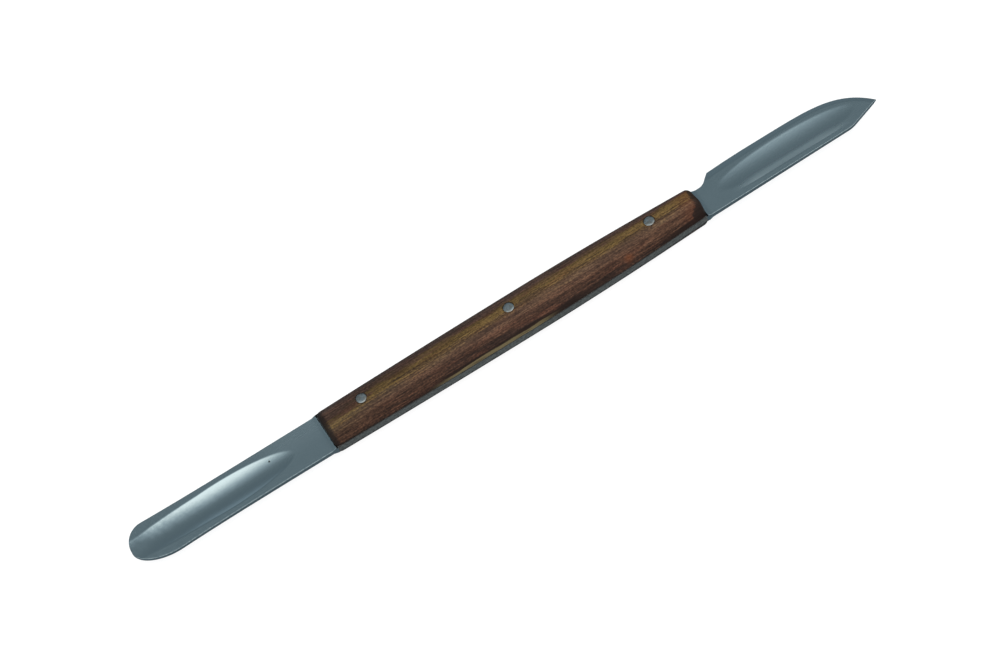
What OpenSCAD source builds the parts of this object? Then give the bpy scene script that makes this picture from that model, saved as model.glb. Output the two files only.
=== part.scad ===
// Double-ended wax spatula: one forged steel blade, with a hollowed spoon at one end and a knife at the
// other, between two wooden scales that three steel pins hold.
// X runs from the spoon to the knife, Y to the cutting edge and Z up. The origin is on the middle pin's
// axis, on the flat that the tool lies on. Lengths are in millimetres.

/* [Handle] */
// Length of the wooden handle
handle_l = 85.4; // [76:0.2:120]
// Width of the handle at its widest
handle_w = 10.1; // [9.4:0.1:14]
// Width of the handle where it meets the spoon
handle_spoon_w = 9.2; // [8.4:0.1:9.8]
// Width of the handle where it meets the knife
handle_knife_w = 7.5; // [7:0.1:8]
// Distance from the middle pin to the widest place, towards the knife
belly_x = 3.1; // [0:0.1:10]
// Thickness of each wooden scale
scale_t = 3.5; // [2.5:0.1:4.2]
// Width of the flat that is dressed along each crown
crown_flat_w = 2.4; // [2.3:0.1:3.6]
// Radius of the rounded scale ends
scale_end_r = 1.1; // [0.3:0.1:1.6]

/* [Pins] */
// Diameter of the steel pins
pin_d = 2.2; // [1.5:0.1:2.3]
// Distance of the end pin from the handle's end at the spoon
spoon_pin_inset = 9.1; // [4:0.1:20]
// Distance of the end pin from the handle's end at the knife
knife_pin_inset = 10.5; // [4:0.1:20]
// Room between a pin and its hole, on the diameter
pin_clearance = 0.04; // [0.02:0.01:0.1]
// Bevel on the rim of each pin end
pin_bevel = 0.15; // [0.05:0.05:0.3]
// How far the pin ends lie under the flats
pin_recess = 0.05; // [0.02:0.01:0.2]

/* [Blade] */
// Thickness of the tang between the scales
tang_t = 1.8; // [1.6:0.1:3]
// Thickness of the spoon and the knife next to the handle
blade_root_t = 1.05; // [0.9:0.05:1.3]
// Length over which the tang thins down to a blade
ramp_l = 0.9; // [0.5:0.1:2.8]

/* [Spoon] */
// Length of the spoon outside the handle
spoon_l = 44.2; // [38:0.1:70]
// Width of the spoon at its widest
spoon_w = 9.9; // [9.2:0.1:12]
// Distance from the widest place to the tip, on the side of the cutting edge
edge_bow_l = 4.4; // [3.5:0.1:9]
// Distance from the widest place to the tip, on the side of the spine
spine_bow_l = 8.5; // [4:0.1:10]
// Thickness of the spoon at its tip
spoon_tip_t = 0.75; // [0.6:0.05:1]
// Width of the hollow in the spoon, where its straight floor ends
hollow_w = 6.6; // [5:0.1:7.5]
// Depth of that hollow there
hollow_depth = 0.62; // [0.4:0.02:0.64]
// Width of that hollow at the tip, where it is flatter
hollow_tip_w = 4.7; // [3:0.1:6.4]
// Depth of that hollow at the tip
hollow_tip_depth = 0.18; // [0.1:0.02:0.4]
// Distance from the handle to where the hollow begins
hollow_start = 8.3; // [4:0.1:14]
// Length of the curve in which its floor sinks from there
hollow_run = 19.5; // [12:0.5:22]
// Metal left under the hollow
hollow_wall = 0.65; // [0.6:0.05:0.7]

/* [Knife] */
// Length of the knife outside the handle
knife_l = 40.4; // [36:0.1:60]
// Distance from the axis to the cutting edge
edge_reach = 5.7; // [5:0.1:7]
// Distance from the handle to where the cutting edge reaches furthest
edge_crown_l = 14.3; // [10:0.1:18]
// How much lower the cutting edge is at its heel
heel_drop = 0.3; // [0.1:0.05:0.6]
// Distance from the handle to the heel
heel_l = 4.8; // [4.2:0.1:7]
// Angle at which the notch before the heel rises to it
heel_angle = 48; // [38:1:75]
// Distance from the axis to the floor of that notch
neck_reach = 3.05; // [2.6:0.05:3.4]
// Radius between that floor and the rise
notch_r = 2.4; // [0.8:0.1:4]
// Distance from the axis to the spine next to the handle
spine_reach = 3.85; // [3.4:0.05:4.4]
// How far the spine runs in towards the axis
spine_rise = 0.45; // [0.1:0.05:0.8]
// Length of the clipped point
clip_l = 7; // [4:0.1:10]
// Distance of the point from the axis, on the side of the spine
point_drop = 0.8; // [0.2:0.1:1.6]
// Thickness of the knife at its point
knife_tip_t = 0.7; // [0.5:0.05:0.9]
// Thickness of the cutting edge
edge_t = 0.3; // [0.2:0.05:0.4]
// Width of the bevel along the cutting edge
edge_bevel_w = 1.6; // [0.8:0.1:2]
// Length of the hollow in each face of the knife
face_hollow_l = 31; // [20:0.5:32]
// Width of that hollow
face_hollow_w = 6.2; // [5:0.1:6.6]
// Depth of that hollow
face_hollow_depth = 0.24; // [0.1:0.02:0.26]
// Distance from the handle to the middle of that hollow
face_hollow_x = 20.4; // [19:0.2:22]
// Distance from the axis to the middle of that hollow, towards the cutting edge
face_hollow_y = 0.65; // [0.2:0.05:1]

/* [Hidden] */
$fn = 96;

// How far a cut runs past what it cuts
overrun = 1;
// Segments of a grinding wheel's rim
wheel_fn = 720;
// Steps along a long curve, along the spoon's sinking floor, round a scale's end and over half its crown
curve_steps = 24;
run_steps = 14;
end_steps = 5;
crown_steps = 10;
// How late the spoon flares, how late the cutting edge drops to its point and how full a crown is
flare_power = 4;
edge_power = 5;
crown_power = 2.4;

// Levels, from the flat that the tool lies on
tang_z = scale_t;
mid_z = tang_z + tang_t / 2;
front_z = tang_z + tang_t;
handle_t = front_z + scale_t;

// Places along the tool
handle_end = handle_l / 2;
spoon_pin_x = spoon_pin_inset - handle_end;
knife_pin_x = handle_end - knife_pin_inset;
spoon_tip = -handle_end - spoon_l;
knife_tip = handle_end + knife_l;
heel_x = handle_end + heel_l;
edge_crown_x = handle_end + edge_crown_l;
clip_x = knife_tip - clip_l;
spine_y = -spine_reach;
clip_y = spine_y + spine_rise;
point_y = -point_drop;

// Radius of the wheel or rim that leaves a hollow of this chord and depth
function wheel_r(chord, depth) = (chord * chord / 4 + depth * depth) / (2 * depth);

// Half the handle's width at a place along it
function half_w(x) =
    let (to_spoon = x < belly_x)
    let (run = to_spoon ? belly_x + handle_end : handle_end - belly_x)
    let (end_w = to_spoon ? handle_spoon_w : handle_knife_w)
    handle_w / 2 - (handle_w - end_w) / 2 * pow((x - belly_x) / run, 2);

// Value a share of the way from one end of a stretch to the other
function between(from, to, share) = from + (to - from) * share;

// Rounded end of a scale: how far each station lies from the end, and how much the rounding takes off there
end_stations = [for (i = [0 : end_steps])
    let (a = 90 * i / end_steps)
    scale_end_r * [1 - cos(a), 1 - sin(a)]];
// Stations of a whole scale, as a place along it and what comes off its half width and height there
mid_stations = [for (i = [1 : curve_steps - 1])
    [between(-handle_end + scale_end_r, handle_end - scale_end_r, i / curve_steps), 0]];
stations = concat(
    [for (s = end_stations) [s[0] - handle_end, s[1]]],
    mid_stations,
    [for (i = [end_steps : -1 : 0]) [handle_end - end_stations[i][0], end_stations[i][1]]]);

// Section of a scale on its seat: a curve up each side and the dressed flat between them
function section(half, tall) =
    let (flat = crown_flat_w / 2)
    let (crown = tall / (1 - pow(flat / half, crown_power)))
    let (side = [for (i = [0 : crown_steps])
        let (y = between(half, flat, i / crown_steps))
        [y, crown * (1 - pow(y / half, crown_power))]])
    concat(side, [for (i = [crown_steps : -1 : 0]) [-side[i][0], side[i][1]]]);

// Solid through a row of sections that all have the same number of points
module loft(places, sections) {
    n = len(sections[0]);
    last = len(places) - 1;
    points = [for (k = [0 : last]) for (p = sections[k]) [places[k], p[0], p[1]]];
    sides = [for (k = [0 : last - 1]) for (i = [0 : n - 1])
        [k * n + i, (k + 1) * n + i, (k + 1) * n + (i + 1) % n, k * n + (i + 1) % n]];
    start_cap = [for (i = [0 : n - 1]) i];
    end_cap = [for (i = [n - 1 : -1 : 0]) last * n + i];
    polyhedron(points, concat(sides, [start_cap, end_cap]), convexity = 4);
}

// Where the pins stand along the handle
module at_pins() {
    for (x = [spoon_pin_x, 0, knife_pin_x])
        translate([x, 0, 0]) children();
}

// Holes for the pins, through the whole handle
module pin_holes() {
    at_pins() translate([0, 0, -overrun])
        cylinder(d = pin_d + pin_clearance, h = handle_t + 2 * overrun);
}

// Wooden scale with its seat on the plane z = 0
module scale_blank() {
    loft([for (s = stations) s[0]], [for (s = stations) section(half_w(s[0]) - s[1], scale_t - s[1])]);
}

// One side of the tang and the spoon, from the knife to the tip. The spoon flares to its widest place,
// and an elliptic bow of the given length ends it
tang_side = [for (i = [curve_steps : -1 : 1])
    let (x = between(-handle_end, handle_end, i / curve_steps))
    [x, half_w(x)]];
function bar_side(bow) = concat(
    tang_side,
    [for (i = [0 : curve_steps - 1])
        let (share = i / curve_steps)
        [between(-handle_end, spoon_tip + bow, share),
         between(handle_spoon_w, spoon_w, pow(share, flare_power)) / 2]],
    [for (i = [0 : curve_steps])
        let (a = 90 * i / curve_steps)
        [spoon_tip + bow * (1 - sin(a)), spoon_w / 2 * cos(a)]]);

module bar_outline() {
    edge_side = bar_side(edge_bow_l);
    spine_side = bar_side(spine_bow_l);
    polygon(concat(
        edge_side,
        [for (i = [len(spine_side) - 2 : -1 : 0]) [spine_side[i][0], -spine_side[i][1]]]));
}

// Spoon and tang at the tang's full thickness
module bar() {
    translate([0, 0, tang_z]) linear_extrude(tang_t) bar_outline();
}

// Cutting edge of the knife at a share of the way from the heel to the crown, and from there to the point
function edge_heel(share) =
    [between(heel_x, edge_crown_x, share), edge_reach - heel_drop * pow(1 - share, 2)];
function edge_belly(share) =
    [between(edge_crown_x, knife_tip, share), between(edge_reach, point_y, pow(share, edge_power))];

// The bevel is drawn up to the tang's thickness, and the blade's own thickness leaves edge_bevel_w of it
edge_inset = edge_bevel_w * (tang_t - edge_t) / (blade_root_t - edge_t);
edge_line = concat(
    [for (i = [0 : end_steps]) edge_heel(i / end_steps)],
    [for (i = [1 : curve_steps]) edge_belly(i / curve_steps)]);
bevel_line = concat(
    [for (i = [0 : end_steps]) edge_heel(i / end_steps) - [0, edge_inset]],
    [for (i = [1 : curve_steps])
        let (share = i / curve_steps)
        edge_belly(share) - edge_inset * [share, 1 - pow(share, edge_power)]]);
knife_back = [[clip_x, clip_y], [handle_end, spine_y]];

module knife_layer(line, t) {
    translate([0, 0, mid_z - t / 2]) linear_extrude(t)
        polygon(concat([[handle_end, line[0][1]]], line, knife_back));
}

// Notch between the handle and the heel: a level floor, an arc and a straight rise to the heel
heel_y = edge_reach - heel_drop;
rise_x = heel_x - (heel_y - neck_reach) / tan(heel_angle);
arc_x = rise_x - notch_r * tan(heel_angle / 2);
notch_top = heel_y + overrun;
notch_arc = [for (i = [0 : end_steps])
    let (a = heel_angle * i / end_steps)
    [arc_x + notch_r * sin(a), neck_reach + notch_r * (1 - cos(a))]];

module notch() {
    translate([0, 0, mid_z - tang_t]) linear_extrude(2 * tang_t) polygon(concat(
        [[handle_end, notch_top], [handle_end, neck_reach]],
        notch_arc,
        [[heel_x + overrun / tan(heel_angle), notch_top]]));
}

// Knife with its bevelled edge, at the tang's thickness along the spine
module knife() {
    difference() {
        hull() {
            knife_layer(bevel_line, tang_t);
            knife_layer(edge_line, edge_t);
        }
        notch();
    }
}

// Thickness of the whole blade along its length, seen from the spine
thickness_line = [
    [spoon_tip, spoon_tip_t / 2],
    [-handle_end - ramp_l, blade_root_t / 2],
    [-handle_end, tang_t / 2],
    [handle_end, tang_t / 2],
    [handle_end + ramp_l, blade_root_t / 2],
    [knife_tip, knife_tip_t / 2]];

module thickness_profile() {
    wide = handle_w + spoon_w + edge_reach;
    translate([0, wide / 2, mid_z]) rotate([90, 0, 0]) linear_extrude(wide)
        polygon(concat(
            thickness_line,
            [for (i = [len(thickness_line) - 1 : -1 : 0])
                [thickness_line[i][0], -thickness_line[i][1]]]));
}

// Half the spoon's thickness at a distance from its tip
function spoon_half_t(from_tip) = between(spoon_tip_t, blade_root_t, from_tip / (spoon_l - ramp_l)) / 2;

// Floor of the spoon's hollow, as heights from the blade's middle: a straight line that rises to the tip,
// and a curve that lifts from the end of that line to the upper face
hollow_full_x = -handle_end - hollow_start - hollow_run;
hollow_long = hollow_full_x - spoon_tip;
hollow_floor = spoon_half_t(hollow_long) - hollow_depth;
hollow_tip_floor = spoon_tip_t / 2 - hollow_tip_depth;
run_fall = hollow_run * (hollow_tip_floor - hollow_floor) / hollow_long;
run_rise = spoon_half_t(hollow_long + hollow_run) - hollow_floor + run_fall;
function run_floor(share) = hollow_floor - run_fall * share + run_rise * pow(share, 2);

// Radius of the hollow across the spoon, and how far its form is drawn past its edges and ends to cut clear
hollow_r = wheel_r(hollow_w, hollow_depth);
hollow_tip_r = wheel_r(hollow_tip_w, hollow_tip_depth);
trough_over_share = 1.15;
trough_angle = asin(trough_over_share * hollow_w / 2 / hollow_r);

// Stations of that form, as a place along the spoon, the height of the floor and the radius there
trough_stations = concat(
    [[between(hollow_full_x, spoon_tip, trough_over_share),
      between(hollow_floor, hollow_tip_floor, trough_over_share),
      between(hollow_r, hollow_tip_r, trough_over_share)]],
    [for (i = [0 : run_steps])
        let (share = trough_over_share * i / run_steps)
        [hollow_full_x + hollow_run * share, run_floor(share), hollow_r]]);

// Form of the hollow, or of the spoon's back where skin is the metal under the hollow
module trough(skin) {
    translate([0, 0, mid_z]) loft([for (s = trough_stations) s[0]], [for (s = trough_stations)
        [for (i = [-curve_steps : 2 : curve_steps])
            let (a = trough_angle * i / curve_steps)
            [(s[2] + skin) * sin(a), s[1] + s[2] - (s[2] + skin) * cos(a)]]]);
}

// Swelled back of the spoon
module spoon_back() {
    intersection() {
        translate([0, 0, mid_z - tang_t]) linear_extrude(tang_t) bar_outline();
        trough(hollow_wall);
        translate([spoon_tip, -spoon_w, 0]) cube([spoon_l, 2 * spoon_w, handle_t]);
    }
}

// Hollow in the upper face of the knife, as a wheel leaves it
face_wheel_r = wheel_r(face_hollow_l, face_hollow_depth);
face_rim_r = wheel_r(face_hollow_w, face_hollow_depth);
face_turn = 2 * asin((face_hollow_l / 2 + overrun) / face_wheel_r);
face_slope = (blade_root_t - knife_tip_t) / 2 / (knife_l - ramp_l);
face_rise = blade_root_t / 2 - face_slope * (face_hollow_x - ramp_l);

module face_hollow() {
    translate([handle_end + face_hollow_x, face_hollow_y, face_rise - face_hollow_depth])
        rotate([0, atan(face_slope), 0])
        translate([0, 0, face_wheel_r]) rotate([90, 0, 0]) rotate([0, 0, -90 - face_turn / 2])
        rotate_extrude(angle = face_turn, $fn = wheel_fn)
            translate([face_wheel_r - face_rim_r, 0]) circle(face_rim_r);
}

module blade() {
    color("lightslategray") difference() {
        union() {
            intersection() {
                union() {
                    bar();
                    knife();
                }
                thickness_profile();
            }
            spoon_back();
        }
        trough(0);
        translate([0, 0, mid_z]) face_hollow();
        translate([0, 0, mid_z]) mirror([0, 0, 1]) face_hollow();
        pin_holes();
    }
}

module front_scale() {
    color("saddlebrown") difference() {
        translate([0, 0, front_z]) scale_blank();
        pin_holes();
    }
}

module rear_scale() {
    color("saddlebrown") difference() {
        translate([0, 0, tang_z]) mirror([0, 0, 1]) scale_blank();
        pin_holes();
    }
}

// Pin through both scales and the tang, with its rims bevelled
module pin(x) {
    r = pin_d / 2;
    long = handle_t - 2 * pin_recess;
    color("slategray") translate([x, 0, pin_recess]) rotate_extrude()
        polygon([
            [0, 0],
            [r - pin_bevel, 0],
            [r, pin_bevel],
            [r, long - pin_bevel],
            [r - pin_bevel, long],
            [0, long]]);
}

module spoon_end_pin() {
    pin(spoon_pin_x);
}

module middle_pin() {
    pin(0);
}

module knife_end_pin() {
    pin(knife_pin_x);
}

blade();
front_scale();
rear_scale();
spoon_end_pin();
middle_pin();
knife_end_pin();
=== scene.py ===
# %% [markdown]
# # A double-ended wax spatula
# A wax spatula is one flat bar of steel, ground to a spoon at one end and to a knife at the other, with two
# strips of dark wood pinned to its middle as a handle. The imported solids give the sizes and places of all
# six pieces. Here each piece is modelled again with a finer mesh of the same form, and gets the finish that
# the real one has.

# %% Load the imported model
import math
from functools import partial

import bmesh
import bpy
import numpy as np
from mathutils import Matrix, Vector
from mathutils.kdtree import KDTree


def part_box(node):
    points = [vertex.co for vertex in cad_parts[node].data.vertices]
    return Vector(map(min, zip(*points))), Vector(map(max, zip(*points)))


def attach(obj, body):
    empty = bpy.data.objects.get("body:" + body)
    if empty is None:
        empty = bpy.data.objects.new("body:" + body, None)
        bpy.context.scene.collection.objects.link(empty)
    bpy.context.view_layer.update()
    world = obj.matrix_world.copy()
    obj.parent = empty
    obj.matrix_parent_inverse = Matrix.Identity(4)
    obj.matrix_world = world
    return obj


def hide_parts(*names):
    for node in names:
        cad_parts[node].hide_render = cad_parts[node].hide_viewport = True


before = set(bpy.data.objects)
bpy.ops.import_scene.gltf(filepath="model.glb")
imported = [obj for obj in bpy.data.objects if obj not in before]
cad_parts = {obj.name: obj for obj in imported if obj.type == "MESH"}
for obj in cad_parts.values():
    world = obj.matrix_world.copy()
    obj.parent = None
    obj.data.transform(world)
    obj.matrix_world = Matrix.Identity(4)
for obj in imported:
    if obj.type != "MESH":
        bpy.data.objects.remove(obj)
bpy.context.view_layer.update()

MM = 0.001
print("solids:", sorted(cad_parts))

# %% [markdown]
# ## Sizes
# Blender works in metres, but a tool of this size is easier to think of in millimetres, so all shapes below
# are drawn in millimetres and scaled once at the end. What the solids show is read from them: the ends of
# the tool, the levels of the tang and the places of the pins.

# %% Read the main sizes from the solids
def box_mm(node):
    low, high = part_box(node)
    return low / MM, high / MM


blade_low, blade_high = box_mm("blade")
front_low, front_high = box_mm("front_scale")
rear_high = box_mm("rear_scale")[1]
PIN_NODES = ["spoon_end_pin", "middle_pin", "knife_end_pin"]
PIN_BOXES = {name: box_mm(name) for name in PIN_NODES}
PIN_X = [(low.x + high.x) / 2 for low, high in PIN_BOXES.values()]
PIN_R = (PIN_BOXES["middle_pin"][1].x - PIN_BOXES["middle_pin"][0].x) / 2
SPOON_TIP = blade_low.x
KNIFE_TIP = blade_high.x
HANDLE_END = front_high.x
HANDLE_W = front_high.y - front_low.y
TANG_LOW = rear_high.z
TANG_HIGH = front_low.z
TANG_T = TANG_HIGH - TANG_LOW
MID_Z = (TANG_LOW + TANG_HIGH) / 2
CROWN_Z = front_high.z
SCALE_T = CROWN_Z - TANG_HIGH
print(f"tool {KNIFE_TIP - SPOON_TIP:.1f} mm long, handle {2 * HANDLE_END:.1f} mm")
print("pins at", [round(x, 1) for x in PIN_X])

# %% [markdown]
# ## Handle outline
# Seen from above, the handle swells a little past its middle and tapers to both ends. The tang between the
# scales has the same outline, so one function serves both.

# %% Half the handle's width along the tool
HANDLE_SPOON_W = 9.2
HANDLE_KNIFE_W = 7.5
BELLY_X = 3.1


def handle_half(x):
    end_w = np.where(x < BELLY_X, HANDLE_SPOON_W, HANDLE_KNIFE_W)
    run = np.where(x < BELLY_X, BELLY_X + HANDLE_END, HANDLE_END - BELLY_X)
    return HANDLE_W / 2 - (HANDLE_W - end_w) / 2 * ((x - BELLY_X) / run) ** 2


print("handle half widths:", handle_half(np.array([-HANDLE_END, 0, HANDLE_END])).round(2))

# %% [markdown]
# ## Blade outline
# The spoon flares to its tip and ends in a bow that is longer on the spine's side. The knife has a notch
# behind its heel, where the tang's corner is worn round, a bellied cutting edge and a clipped point. Each
# side of the outline is one function of the place along the tool, so that a grid can be stretched between
# the two sides.

# %% Two sides of the blade, seen from above
SPOON_W = 9.9
EDGE_BOW = 4.4
SPINE_BOW = 8.5
FLARE_POWER = 4
EDGE_REACH = blade_high.y
EDGE_CROWN_X = HANDLE_END + 14.3
EDGE_POWER = 5
HEEL_X = HANDLE_END + 4.8
HEEL_DROP = 0.3
HEEL_SLOPE = math.radians(48)
NECK_REACH = 3.05
NOTCH_R = 2.4
SPINE_REACH = 3.85
CLIP_X = KNIFE_TIP - 7
CLIP_Y = -SPINE_REACH + 0.45
CLIP_SOFTENING = 0.3
POINT_Y = -0.8
TANG_CORNER = HANDLE_KNIFE_W / 2 - NECK_REACH
HEEL_Y = EDGE_REACH - HEEL_DROP
RISE_X = HEEL_X - (HEEL_Y - NECK_REACH) / math.tan(HEEL_SLOPE)
ARC_X = RISE_X - NOTCH_R * math.tan(HEEL_SLOPE / 2)
ARC_END = ARC_X + NOTCH_R * math.sin(HEEL_SLOPE)


def soft_min(a, b, width):
    """The lower of two heights, with the corner between them rounded over this width."""
    share = np.clip(0.5 + 0.5 * (b - a) / width, 0, 1)
    return b + (a - b) * share - width * share * (1 - share)


def spoon_side(x, bow):
    widest = SPOON_TIP + bow
    share = np.clip((-HANDLE_END - x) / (-HANDLE_END - widest), 0, 1)
    flare = HANDLE_SPOON_W + (SPOON_W - HANDLE_SPOON_W) * share ** FLARE_POWER
    into_bow = np.clip((widest - x) / bow, 0, 1)
    return flare / 2 * np.sqrt(1 - into_bow ** 2)


def cutting_edge(x):
    heel = EDGE_REACH - HEEL_DROP * ((EDGE_CROWN_X - x) / (EDGE_CROWN_X - HEEL_X)) ** 2
    share = np.clip((x - EDGE_CROWN_X) / (KNIFE_TIP - EDGE_CROWN_X), 0, 1)
    belly = EDGE_REACH + (POINT_Y - EDGE_REACH) * share ** EDGE_POWER
    return np.where(x < EDGE_CROWN_X, heel, belly)


def notch(x):
    arc = NECK_REACH + NOTCH_R - np.sqrt(NOTCH_R ** 2 - np.clip(x - ARC_X, 0, ARC_END - ARC_X) ** 2)
    return arc + np.clip(x - ARC_END, 0, None) * math.tan(HEEL_SLOPE)


def edge_side(x):
    knife = np.where(x < HEEL_X, np.minimum(notch(x), HEEL_Y), cutting_edge(x))
    into_corner = np.clip((x - HANDLE_END) / TANG_CORNER + 1, 0, 1)
    handle = np.where(x <= HANDLE_END, handle_half(x) - TANG_CORNER * into_corner ** 2, knife)
    return np.where(x < -HANDLE_END, spoon_side(x, EDGE_BOW), handle)


def spine_side(x):
    straight = -SPINE_REACH + (CLIP_Y + SPINE_REACH) * (x - HANDLE_END) / (CLIP_X - HANDLE_END)
    clip = CLIP_Y + (POINT_Y - CLIP_Y) * (x - CLIP_X) / (KNIFE_TIP - CLIP_X)
    knife = np.minimum(-soft_min(-straight, -clip, CLIP_SOFTENING), POINT_Y)
    handle = np.where(x <= HANDLE_END, -handle_half(x), knife)
    return np.where(x < -HANDLE_END, -spoon_side(x, SPINE_BOW), handle)


print("blade width at the heel:", round(float(edge_side(HEEL_X) - spine_side(HEEL_X)), 2), "mm")

# %% [markdown]
# ## Blade faces
# A grinding wheel leaves a hollow along the spoon and a shallower one in each face of the knife. Across the
# tool both are arcs of a circle. Along it, the knife's hollow is an arc too, and the spoon's has a straight
# floor that flattens to the tip and lifts out in a long curve towards the handle. At the very tip only its
# sides still rise, as a flat floor was polished there. The upper face is then the lowest of the flat, the
# hollow and the bevel along the cutting edge, with the corners between them softened as polishing does.

# %% Heights of the upper and the lower face, from the middle of the tang
ROOT_T = 1.05
RAMP_L = 0.9
SPOON_TIP_T = 0.75
KNIFE_TIP_T = 0.7
EDGE_T = 0.3
BEVEL_W = 1.6
HOLLOW_W = 6.6
HOLLOW_DEPTH = 0.62
HOLLOW_TIP_W = 4.5
HOLLOW_TIP_DEPTH = 0.18
HOLLOW_RUN = 20.3
PLAIN_NECK = 7.5
HOLLOW_FULL_X = -HANDLE_END - PLAIN_NECK - HOLLOW_RUN
HOLLOW_LONG = HOLLOW_FULL_X - SPOON_TIP
HOLLOW_WALL = 0.65
TIP_START = SPOON_TIP + 5.9
TIP_END = SPOON_TIP + 1.4
TIP_DEPTH = 0.115
TIP_CURVE = 0.0072
FACE_HOLLOW = {"x": HANDLE_END + 20.4, "y": 0.65, "long": 31, "wide": 6.2, "deep": 0.24}
POLISH_SOFTENING = 0.02


def wheel_r(chord, depth):
    return (chord * chord / 4 + depth * depth) / (2 * depth)


def half_thickness(x):
    places = [SPOON_TIP, -HANDLE_END - RAMP_L, -HANDLE_END, HANDLE_END, HANDLE_END + RAMP_L, KNIFE_TIP]
    return np.interp(x, places, [SPOON_TIP_T, ROOT_T, TANG_T, TANG_T, ROOT_T, KNIFE_TIP_T]) / 2


def spoon_hollow(x, y, skin=0):
    """Height of the spoon's hollow or, with a skin of metal under it, of the spoon's back."""
    full_floor = half_thickness(HOLLOW_FULL_X) - HOLLOW_DEPTH
    tip_floor = half_thickness(SPOON_TIP) - HOLLOW_TIP_DEPTH
    fall = HOLLOW_RUN * (tip_floor - full_floor) / HOLLOW_LONG
    rise = half_thickness(HOLLOW_FULL_X + HOLLOW_RUN) - full_floor + fall
    to_tip = np.clip((HOLLOW_FULL_X - x) / HOLLOW_LONG, 0, None)
    to_start = np.clip((x - HOLLOW_FULL_X) / HOLLOW_RUN, 0, None)
    floor = full_floor + (tip_floor - full_floor) * to_tip - fall * to_start + rise * to_start ** 2
    full_r = wheel_r(HOLLOW_W, HOLLOW_DEPTH)
    radius = full_r + (wheel_r(HOLLOW_TIP_W, HOLLOW_TIP_DEPTH) - full_r) * to_tip
    ground = floor + radius - np.sqrt(np.clip((radius + skin) ** 2 - y ** 2, 0, None))
    tip = half_thickness(x) - TIP_DEPTH + TIP_CURVE * np.abs(y) ** 3 - skin
    share = np.clip((x - TIP_START) / (TIP_END - TIP_START), 0, 1)
    share = share * share * (3 - 2 * share)
    return ground + (tip - ground) * share


def knife_hollow(x, y):
    h = FACE_HOLLOW
    wheel = wheel_r(h["long"], h["deep"])
    rim = wheel_r(h["wide"], h["deep"])
    reach = np.sqrt(np.clip(rim ** 2 - (y - h["y"]) ** 2, 0, None)) + wheel - rim
    lift = wheel - np.sqrt(np.clip(reach ** 2 - (x - h["x"]) ** 2, 0, None))
    return half_thickness(x) - h["deep"] + lift


def bevel(to_edge):
    slope = (ROOT_T - EDGE_T) / 2 / BEVEL_W
    return EDGE_T / 2 + slope * to_edge


def upper_face(x, y, to_edge):
    flat = half_thickness(x)
    spoon = soft_min(flat, spoon_hollow(x, y), POLISH_SOFTENING)
    hollowed = soft_min(flat, knife_hollow(x, y), POLISH_SOFTENING)
    knife = soft_min(hollowed, bevel(to_edge), POLISH_SOFTENING)
    return np.where(x < -HANDLE_END, spoon, np.where(x > HANDLE_END, knife, flat))


def lower_face(x, y, to_edge):
    spoon = -soft_min(-half_thickness(x), spoon_hollow(x, y, HOLLOW_WALL), POLISH_SOFTENING)
    return -np.where(x < -HANDLE_END, spoon, upper_face(x, y, to_edge))


print("metal under the spoon's hollow:", HOLLOW_WALL, "mm")

# %% [markdown]
# ## One function for finished pieces
# Every piece ends the same way: its faces are turned outwards, its millimetres become metres, its faces are
# shaded smooth apart from sharp corners, and it takes the place of its solid.

# %% From a bmesh to a piece of the tool
SHARP_ANGLE = math.radians(35)


def finished_piece(name, bm, node):
    bmesh.ops.recalc_face_normals(bm, faces=bm.faces)
    if bm.calc_volume(signed=True) < 0:
        bmesh.ops.reverse_faces(bm, faces=bm.faces)
    bmesh.ops.scale(bm, vec=Vector((MM, MM, MM)), verts=bm.verts)
    mesh = bpy.data.meshes.new(name)
    bm.to_mesh(mesh)
    open_edges = sum(not e.is_manifold for e in bm.edges)
    bm.free()
    piece = bpy.data.objects.new(name, mesh)
    bpy.context.scene.collection.objects.link(piece)
    mesh.shade_smooth()
    mesh.set_sharp_from_angle(angle=SHARP_ANGLE)
    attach(piece, "root")
    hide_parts(node)
    print(f"{name}: {len(mesh.polygons)} faces, {open_edges} open edges")
    return piece


# %% [markdown]
# The pins pass through the scales and the tang. A Boolean modifier drills their holes, and is applied at
# once, so that the piece ends as a plain mesh. Its manifold solver is made for closed meshes like these.

# %% Drill the pin holes
PIN_CLEARANCE = 0.04
HOLE_SIDES = 64


def drill_pin_holes(piece):
    bm = bmesh.new()
    hole_r = PIN_R + PIN_CLEARANCE / 2
    for x in PIN_X:
        place = Matrix.Translation((x, 0, CROWN_Z / 2))
        bmesh.ops.create_cone(bm, cap_ends=True, segments=HOLE_SIDES, radius1=hole_r, radius2=hole_r,
                              depth=2 * CROWN_Z, matrix=place)
    bmesh.ops.scale(bm, vec=Vector((MM, MM, MM)), verts=bm.verts)
    mesh = bpy.data.meshes.new("drills")
    bm.to_mesh(mesh)
    bm.free()
    drills = bpy.data.objects.new("drills", mesh)
    bpy.context.scene.collection.objects.link(drills)
    cut = piece.modifiers.new("pin holes", "BOOLEAN")
    cut.operation = "DIFFERENCE"
    cut.solver = "MANIFOLD"
    cut.object = drills
    evaluated = piece.evaluated_get(bpy.context.evaluated_depsgraph_get())
    drilled = bpy.data.meshes.new_from_object(evaluated)
    piece.modifiers.clear()
    old = piece.data
    piece.data = drilled
    drilled.name = piece.name
    drilled.materials.clear()
    drilled.polygons.foreach_set("material_index", [0] * len(drilled.polygons))
    bpy.data.objects.remove(drills)
    bpy.data.meshes.remove(old)
    bpy.data.meshes.remove(mesh)
    drilled.set_sharp_from_angle(angle=SHARP_ANGLE)
    print(f"{piece.name}: drilled, {len(drilled.polygons)} faces")


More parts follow.
